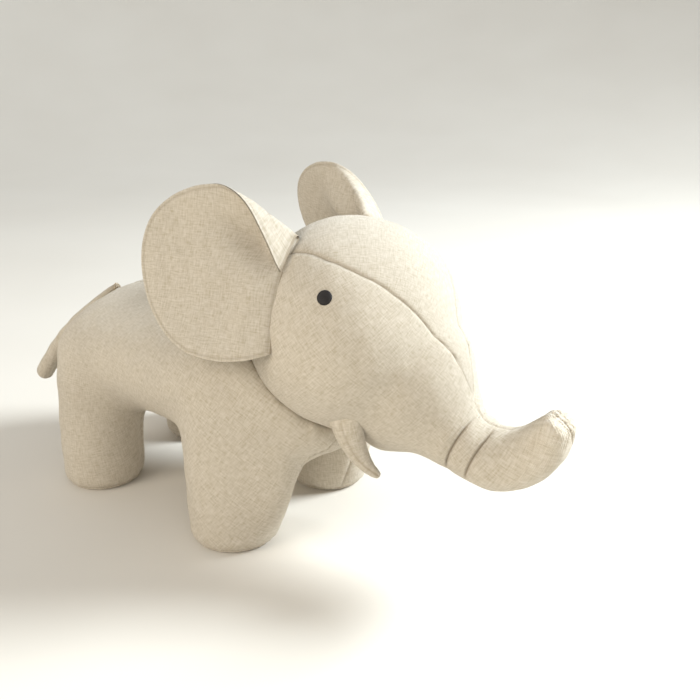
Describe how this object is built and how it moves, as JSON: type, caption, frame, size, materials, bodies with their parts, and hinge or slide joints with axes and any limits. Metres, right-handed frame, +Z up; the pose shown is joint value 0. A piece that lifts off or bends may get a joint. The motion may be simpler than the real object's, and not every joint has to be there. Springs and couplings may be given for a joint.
{
  "type": "stuffed elephant toy",
  "caption": "Large standing stuffed elephant sewn from woven cloth, with padded ears, a curled trunk, small cloth tusks and a hanging tail.",
  "frame": {"origin": "on the floor, under the middle of the overall length and width", "axes": "+X towards the trunk, +Y to the elephant's left, +Z up"},
  "size_m": [0.5723, 0.2116, 0.2867],
  "materials": {
    "linen_cloth": "woven, matt",
    "fibre_stuffing": "loose fibre",
    "eye_thread": "satin stitch",
    "sewing_thread": "twisted thread"
  },
  "bodies": {
    "torso": {"belly_gusset": "linen_cloth", "body_side_left": "linen_cloth", "body_side_right": "linen_cloth", "front_leg_left_sole": "linen_cloth", "front_leg_left_stuffing": "fibre_stuffing", "front_leg_right_sole": "linen_cloth", "front_leg_right_stuffing": "fibre_stuffing", "rear_leg_left_sole": "linen_cloth", "rear_leg_left_stuffing": "fibre_stuffing", "rear_leg_right_sole": "linen_cloth", "rear_leg_right_stuffing": "fibre_stuffing", "tail_root_gather": "sewing_thread", "torso_stuffing": "fibre_stuffing"},
    "head": {"ear_left_root": "linen_cloth", "ear_right_root": "linen_cloth", "eye_left": "eye_thread", "eye_right": "eye_thread", "head_gusset": "linen_cloth", "head_side_left": "linen_cloth", "head_side_right": "linen_cloth", "head_stuffing": "fibre_stuffing", "trunk_root_stuffing": "fibre_stuffing", "tusk_left_cover": "linen_cloth", "tusk_left_stuffing": "fibre_stuffing", "tusk_right_cover": "linen_cloth", "tusk_right_stuffing": "fibre_stuffing"},
    "trunk": {"trunk_side_left": "linen_cloth", "trunk_side_right": "linen_cloth", "trunk_stuffing": "fibre_stuffing", "trunk_tuck_stitches_front": "sewing_thread", "trunk_tuck_stitches_rear": "sewing_thread"},
    "ear_right": {"ear_right_inner_panel": "linen_cloth", "ear_right_outer_panel": "linen_cloth", "ear_right_wadding": "fibre_stuffing"},
    "ear_left": {"ear_left_inner_panel": "linen_cloth", "ear_left_outer_panel": "linen_cloth", "ear_left_wadding": "fibre_stuffing"},
    "tail": {"tail_cover": "linen_cloth", "tail_stuffing": "fibre_stuffing"}
  },
  "joints": [
    {"name": "neck_nod", "type": "hinge", "parent": "torso", "child": "head", "pos_m": [0.105, 0, 0.182], "axis": [0, 1, 0], "range_deg": [-8, 8], "stiffness_Nm_per_rad": 12},
    {"name": "trunk_curl", "type": "hinge", "parent": "head", "child": "trunk", "pos_m": [0.22, 0, 0.108], "axis": [0, 1, 0], "range_deg": [-14, 12], "stiffness_Nm_per_rad": 1.2},
    {"name": "ear_right_flap", "type": "hinge", "parent": "head", "child": "ear_right", "pos_m": [0.085, -0.079, 0.22], "axis": [-0.05, 0.2999, 0.9527], "range_deg": [-8, 30], "stiffness_Nm_per_rad": 0.35},
    {"name": "ear_left_flap", "type": "hinge", "parent": "head", "child": "ear_left", "pos_m": [0.085, 0.079, 0.22], "axis": [0.05, 0.2999, -0.9527], "range_deg": [-8, 30], "stiffness_Nm_per_rad": 0.35},
    {"name": "tail_swing", "type": "hinge", "parent": "torso", "child": "tail", "pos_m": [-0.173, -0.001, 0.164], "axis": [0, 0, 1], "range_deg": [-24, 24], "stiffness_Nm_per_rad": 0.15}
  ]
}
